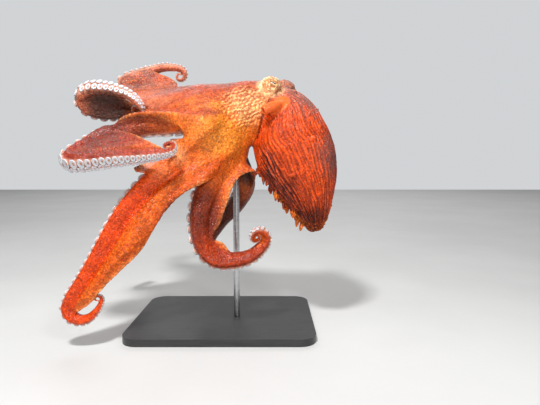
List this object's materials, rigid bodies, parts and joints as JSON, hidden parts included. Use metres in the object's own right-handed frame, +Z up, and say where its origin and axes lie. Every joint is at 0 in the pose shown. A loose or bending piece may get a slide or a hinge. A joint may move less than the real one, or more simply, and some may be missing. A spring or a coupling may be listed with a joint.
{
  "type": "giant octopus display model",
  "caption": "Still, life-size model of a swimming giant Pacific octopus with spread webbed arms and curled tips, held on a flat stand by a rod.",
  "frame": {"origin": "centre of the underside of the stand's base plate", "axes": "+Z up; the arms and the mouth point to -X and the mantle hangs on the +X side; the animal's left side faces -Y"},
  "size_m": [0.6373, 0.4897, 0.6903],
  "materials": {
    "skin": "wet, finely wrinkled orange-red skin with golden patches round the head and darker mottling",
    "suckers": "smooth, wet, pale sucker cups with a faint pink centre",
    "eye": "glossy golden eyeball with a dark slit pupil",
    "stand_plate": "satin black lacquer over fine grain, softened edges",
    "stand_rod": "brushed round bar"
  },
  "bodies": {
    "root": {"arm_l1_base": "skin", "arm_l1_mid": "skin", "arm_l1_tip": "skin", "arm_l2_base": "skin", "arm_l2_mid": "skin", "arm_l2_tip": "skin", "arm_l3_base": "skin", "arm_l3_mid": "skin", "arm_l3_tip": "skin", "arm_l4_base": "skin", "arm_l4_mid": "skin", "arm_l4_tip": "skin", "arm_r4_base": "skin", "arm_r4_mid": "skin", "arm_r4_tip": "skin", "arm_r3_base": "skin", "arm_r3_mid": "skin", "arm_r3_tip": "skin", "arm_r2_base": "skin", "arm_r2_mid": "skin", "arm_r2_tip": "skin", "arm_r1_base": "skin", "arm_r1_mid": "skin", "arm_r1_tip": "skin", "head": "skin", "siphon": "skin", "mantle": "skin", "web_l1_l2": "skin", "web_l2_l3": "skin", "web_l3_l4": "skin", "web_l4_r4": "skin", "web_r4_r3": "skin", "web_r3_r2": "skin", "web_r2_r1": "skin", "web_r1_l1": "skin", "fold_l3": "skin", "fin_r1": "skin", "fin_l1": "skin", "fin_l2": "skin", "eye_left": "eye", "eye_right": "eye", "stand_base": "stand_plate", "stand_rod": "stand_rod"}
  },
  "joints": []
}
